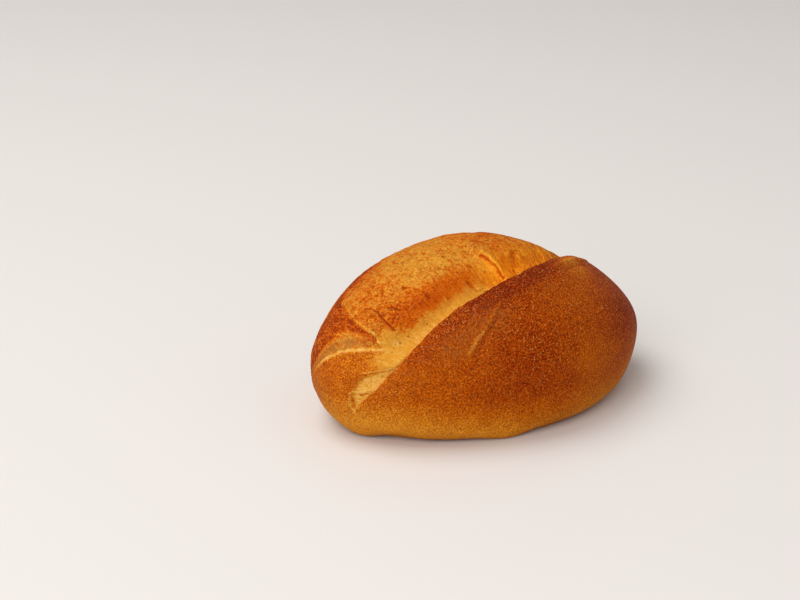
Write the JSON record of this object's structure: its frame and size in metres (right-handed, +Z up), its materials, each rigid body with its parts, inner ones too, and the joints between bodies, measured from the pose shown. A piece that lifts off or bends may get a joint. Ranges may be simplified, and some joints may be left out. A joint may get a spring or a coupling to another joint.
{
  "type": "bolillo roll",
  "caption": "Oval crusty bread roll with a long score opened along its top and a flattened underside.",
  "frame": {"origin": "on the surface that the roll rests on, under the middle of its outline", "axes": "+Z up; +X along the roll, towards the end where the flap's edge curls up; the opened side of the score faces +Y"},
  "size_m": [0.1244, 0.0868, 0.0553],
  "materials": {
    "crust": "baked bread crust, satin on the smooth flap and matt on the torn crumb"
  },
  "bodies": {
    "root": {"roll": "crust"}
  },
  "joints": []
}
